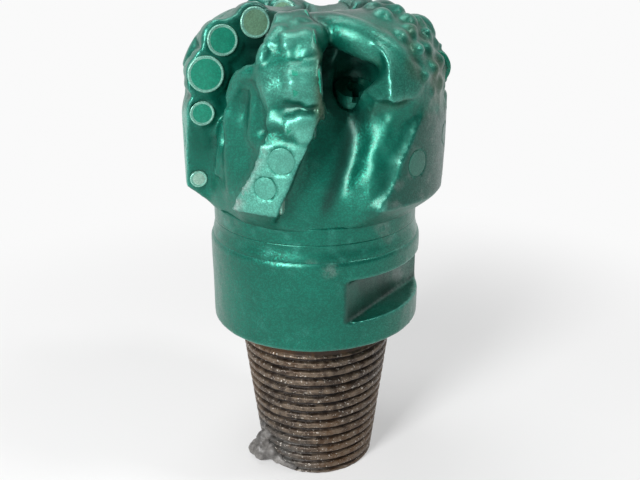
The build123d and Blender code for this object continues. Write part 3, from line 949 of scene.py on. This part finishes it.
# ---------------------------------------------------------------- the shank and neck
def turned_box(centre, half, turn):
    """A closed box as plain arrays, its first side facing out at this azimuth."""
    out, side = direction(turn) * half[0], direction(turn + 90) * half[1]
    verts = [centre + out * a + side * b + np.array([0, 0, half[2] * z])
             for z in (-1, 1) for a, b in ((-1, -1), (1, -1), (1, 1), (-1, 1))]
    return np.array(verts), [(3, 2, 1, 0), (4, 5, 6, 7)] + tube_faces(2, 4)


def shank_piece():
    """The shank's painted body above the shoulder, its breaker slots' edges softened by the paint."""
    profile = [(0, BORE + 0.2), (0, 48.6), (0.35, 49.5), (1.1, SHANK_RADIUS), (41.6, SHANK_RADIUS),
               (42.3, 49.6), (43.2, 49.2), (SHANK_TOP, 48.9), (SHANK_TOP, 30.0), (42.0, BORE + 0.2)]
    body = lathe(profile, 240, np.array([0, 0, SHOULDER]), [0, 0, 1], looped=True)
    obj = add("shank_painted", mesh_from("shank_painted", *body))
    for turn in FLAT_TURNS:
        box = turned_box(at(turn, FLAT + 20, FLAT_FOOT + FLAT_HALF), (20, SHANK_RADIUS, FLAT_HALF), turn)
        cut(obj, add("cutting_block", mesh_from("cutting_block", *box), False), "EXACT")
    mesh = voxelled(obj, SHANK_VOXEL)
    co = coords(mesh)
    edges = edge_array(mesh)
    co = relax(co, edges, np.full(len(co), 0.9), 3)
    set_coords(mesh, co)
    normal = normals(mesh)
    shift = 0.10 * lumps(co, 11.0, 51) + 0.05 * lumps(co, 3.2, 53, (1, 1, 1.8)) - 0.12
    co = co + normal * shift[:, None]
    set_coords(mesh, co)
    soft = relax(co, edges, np.ones(len(co)), 8)
    bend = ((co - soft) * normals(mesh)).sum(1)
    # painted highlight on convex edges
    attribute(mesh, "crest", spread(ramp(bend, 0.08, 0.4), edges, 1))
    # painted shade in concave creases
    attribute(mesh, "hollow_shade", spread(ramp(-bend, 0.06, 0.5), edges, 2) * 0.9)
    height = co[:, 2] - SHOULDER
    # the breaker slots' floors darkened, unevenly
    floor = np.zeros(len(co))
    for turn in FLAT_TURNS:
        floor = np.maximum(floor, 1 - ramp(np.abs(co @ direction(turn) - FLAT), 0.4, 1.2))
    floor *= ramp(height, 13.2, 14.4) * (1 - ramp(height, 32.8, 34.0))
    attribute(mesh, "dark", floor * (0.55 + 0.25 * lumps(co, 9.0, 57)))
    attribute(mesh, "worn", ramp(lumps(co, 16.0, 58), 0.55, 0.9) * 0.35)
    coated(mesh, paint_shank)
    mesh.shade_smooth()
    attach(obj, "root")
    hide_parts("shank")


def neck_band(name, span, node):
    """A painted band of the neck's shallow groove, with the enamel's runs and sags, closed to a ring."""
    low, high = span
    heights = np.linspace(low, high, int((high - low) / 0.5) + 1)
    segments = 300
    ring = outward(np.arange(segments) * 2 * math.pi / segments)
    verts = []
    for height in heights:
        middle = np.array([0, 0, SHOULDER + height])
        place = ring * NECK + middle
        sag = 0.10 * lumps(place, 9.0, 61) + 0.16 * lumps(place, 5.0, 63, (1, 1, 2.5)) * ramp(height, 46, 56)
        verts.append(ring * (49.1 - 1.1 * ramp(height, 42.5, 49.5) + sag - 0.15)[:, None] + middle)
    for height in (high, low):
        verts.append(ring * 34 + np.array([0, 0, SHOULDER + height]))
    faces = tube_faces(len(verts), segments, looped=True)
    obj = add(name, mesh_from(name, np.concatenate(verts), faces))
    mesh = obj.data
    co = coords(mesh)
    attribute(mesh, "crest", ramp(lumps(co, 4.0, 65), 0.3, 0.9) * 0.4)
    # painted shade at the band's foot, against the shank's top edge
    attribute(mesh, "hollow_shade", (1 - ramp(co[:, 2] - SHOULDER, 42.6, 44.0)) * 0.5)
    attribute(mesh, "worn", ramp(lumps(co, 12.0, 67), 0.5, 0.9) * 0.3)
    coated(mesh, paint_shank)
    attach(obj, "root")
    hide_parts(node)


shank_piece()
neck_band("weld_band_painted", WELD_SPAN, "weld_ring")
neck_band("neck_band_painted", NECK_SPAN, "blank")


# ---------------------------------------------------------------- the pin
def pin_piece():
    """The tapered pin: a right-hand V thread, its crests worn round and rusted, and the bore inside it."""
    rows, segments = 300, 288
    turn = np.arange(segments) * 2 * math.pi / segments
    height, angle = np.repeat(np.linspace(-SHOULDER, 0.0, rows), segments), np.tile(turn, rows)
    ring = outward(angle)
    level = np.array([0, 0, 1.0]) * (height + SHOULDER)[:, None]
    crest = PIN_RADIUS + height / PIN_TAPER
    place = ring * crest[:, None] + level
    phase = (height + 11.7) / PITCH - angle / (2 * math.pi) + 0.04 * lumps(place, 9.0, 71)
    frac = np.abs((phase % 1.0) - 0.5) * 2.0
    groove = 1 - ramp(1 - frac, 0.10, 0.62)
    depth = (1.95 + 0.35 * lumps(place, 8.0, 73)) * groove
    depth += (0.24 * lumps(place, 2.2, 75) + 0.14 * lumps(place, 1.1, 77)) * (0.35 + 0.65 * (1 - groove))
    plain = ramp(height, -10.2, -8.6)
    depth = depth * (1 - plain) + plain * (1.15 + 0.06 * lumps(place, 4.0, 79))
    depth += 0.8 * (1 - ramp(height, -SHOULDER, -78.6))
    depth = np.maximum(depth, 0.02)
    radius = crest - depth
    radius = np.where(height > RELIEF_FOOT, np.minimum(radius, RELIEF_RADIUS), radius)
    base = outward(turn)
    bore = [(BORE, 146.0), (BORE, 73.0), (BORE, 1.0), (BORE + 1.0, 0.0)]
    inside = np.concatenate([base * r + np.array([0, 0, z]) for r, z in bore])
    verts = np.concatenate([inside, ring * radius[:, None] + level])
    faces = tube_faces(len(bore) + rows, segments)
    obj = add("pin_threaded", mesh_from("pin_threaded", verts, faces))
    mesh = obj.data
    co = coords(mesh)
    attribute(mesh, "crest", np.append(np.zeros(len(inside)), (1 - groove) * (1 - plain)))
    # painted shade: the thread's roots, the plain groove a little, and the bore
    rooted = np.clip(groove * (1 - plain) + 0.35 * plain, 0, 1)
    attribute(mesh, "hollow_shade", np.append(np.full(len(inside), 0.8), rooted))
    azimuth = around(co)[2]
    dirt = bell(azimuth, -55, 38.0) * (1 - ramp(co[:, 2], 12, 34)) + 0.35 * (1 - ramp(co[:, 2], 2, 12))
    attribute(mesh, "dirt", np.clip(dirt + 0.3 * lumps(co, 9.0, 81) * (dirt > 0.05), 0, 1))
    coated(mesh, rusty_pin)
    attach(obj, "root")
    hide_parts("shank")


pin_piece()


def grease_piece():
    """Pipe dope and grit that has run down the pin and set in a lump at its foot."""
    # azimuth, distance from the axis, height above the floor and size of each lump
    table = ((-62, 31.0, 5.2, 5.6), (-70, 33.0, 4.6, 4.6), (-52, 28.6, 6.5, 4.6), (-66, 29.6, 11.5, 4.2),
             (-58, 28.6, 15.5, 3.0), (-76, 28.6, 7.5, 3.6), (-44, 27.4, 4.0, 3.6), (-36, 27.4, 3.2, 2.9),
             (-63, 29.5, 20.0, 2.4), (-26, 27.3, 2.6, 2.4))
    parts = [closed_ball(direction(azimuth) * r + np.array([0, 0, z]), (size, size, size * 0.9))
             for azimuth, r, z, size in table]
    obj = add("pin_grease_lump", mesh_from("pin_grease_lump", *merged(parts)))
    mesh = voxelled(obj, GREASE_VOXEL)
    co = coords(mesh)
    edges = edge_array(mesh)
    co = relax(co, edges, np.ones(len(co)), 6)
    set_coords(mesh, co)
    co = co + normals(mesh) * (0.5 * lumps(co, 3.0, 91) + 0.22 * lumps(co, 1.3, 93))[:, None]
    co[:, 2] = np.maximum(co[:, 2], 0.05)
    set_coords(mesh, co)
    coated(mesh, hard_grease)
    mesh.shade_smooth()
    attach(obj, "root")


grease_piece()


# ---------------------------------------------------------------- floor, light and camera
def seen_directly(tree):
    """1 for what the camera, a reflection or a view through glass sees, and 0 for the light it gives."""
    n = Nodes(tree)
    path = tree.nodes.new("ShaderNodeLightPath").outputs
    direct = n.math("MAXIMUM", path["Is Camera Ray"], path["Is Glossy Ray"])
    return n.math("MAXIMUM", direct, path["Is Transmission Ray"])


def paper_floor():
    """A pale floor that keeps the shadow near the bit and turns to plain white paper further out."""
    mesh = bpy.data.meshes.new("floor")
    s = 8.0
    mesh.from_pydata([(-s, -s, 0), (s, -s, 0), (s, s, 0), (-s, s, 0)], [], [(0, 1, 2, 3)])
    floor = add("floor", mesh, False)
    mat, n, bsdf = new_material("floor_paper")
    bsdf.inputs["Base Color"].default_value = (0.82, 0.82, 0.82, 1)
    bsdf.inputs["Roughness"].default_value = 0.95
    bsdf.inputs["Specular IOR Level"].default_value = 0.05
    n.link(n.bump(n.noise(60.0), 0.02, 0.001), bsdf.inputs["Normal"])
    tree = n.tree
    paper = tree.nodes.new("ShaderNodeEmission")
    paper.inputs["Color"].default_value = PAPER
    far = n.range(n.vector("LENGTH", n.place)["Value"], 0.14, 0.40, 0.40, 1.0)
    share = n.times(far, seen_directly(tree))
    blend = tree.nodes.new("ShaderNodeMixShader")
    for socket, output in zip(blend.inputs, (share, bsdf.outputs[0], paper.outputs[0])):
        n.link(output, socket)
    n.link(blend.outputs[0], tree.nodes["Material Output"].inputs["Surface"])
    coated(mesh, mat)


def studio_world():
    """White to the camera, and faint as a light."""
    world = bpy.data.worlds.new("studio")
    scene.world = world
    world.use_nodes = True
    tree = world.node_tree
    back = tree.nodes["Background"]
    back.inputs["Color"].default_value = PAPER
    # reflections meet the white paper only on the side where it hangs, behind the object
    n = Nodes(tree)
    path = tree.nodes.new("ShaderNodeLightPath").outputs
    split = tree.nodes.new("ShaderNodeSeparateXYZ")
    n.link(tree.nodes.new("ShaderNodeTexCoord").outputs["Generated"], split.inputs[0])
    side = tree.nodes.new("ShaderNodeMapRange")
    for key, value in (("From Min", -0.25), ("From Max", 0.35), ("Value", split.outputs["Y"])):
        n.put(side.inputs[key], value)
    mirrored = n.times(path["Is Glossy Ray"], side.outputs[0])
    direct = n.math("MAXIMUM", path["Is Camera Ray"], path["Is Transmission Ray"])
    white = n.math("MAXIMUM", direct, mirrored)
    n.link(n.math("MULTIPLY_ADD", white, 1.0 - WORLD_LIGHT, WORLD_LIGHT), back.inputs["Strength"])


def lamp(name, place, target, size, power):
    data = bpy.data.lights.new(name, "AREA")
    data.shape = "RECTANGLE"
    data.size, data.size_y = size
    data.energy = power
    obj = bpy.data.objects.new(name, data)
    scene.collection.objects.link(obj)
    obj.location = place
    obj.rotation_euler = (Vector(target) - Vector(place)).to_track_quat("-Z", "Y").to_euler()


paper_floor()
studio_world()
lamp("key", (-0.62, -1.00, 0.66), (0, 0, 0.13), (0.36, 0.60), 21.0)
lamp("top", (-0.20, 0.10, 1.10), (0, 0, 0.15), (0.5, 0.5), 4.6)
lamp("rim", (0.58, -0.22, 0.98), (0, 0, 0.19), (0.16, 0.16), 2.6)

camera_data = bpy.data.cameras.new("camera")
camera_data.lens = 50.7
camera_data.sensor_width = 36.0
camera_data.clip_start = 0.01
camera = bpy.data.objects.new("camera", camera_data)
scene.collection.objects.link(camera)
camera.rotation_mode = "XYZ"
camera.location = (0.0, -0.4085, 0.2737)
camera.rotation_euler = Euler((math.radians(90 - 21.2), 0.0, math.radians(-0.32)), "XYZ")
camera.rotation_euler.rotate_axis("Z", math.radians(-0.35))
scene.camera = camera
scene.view_settings.view_transform = "Standard"
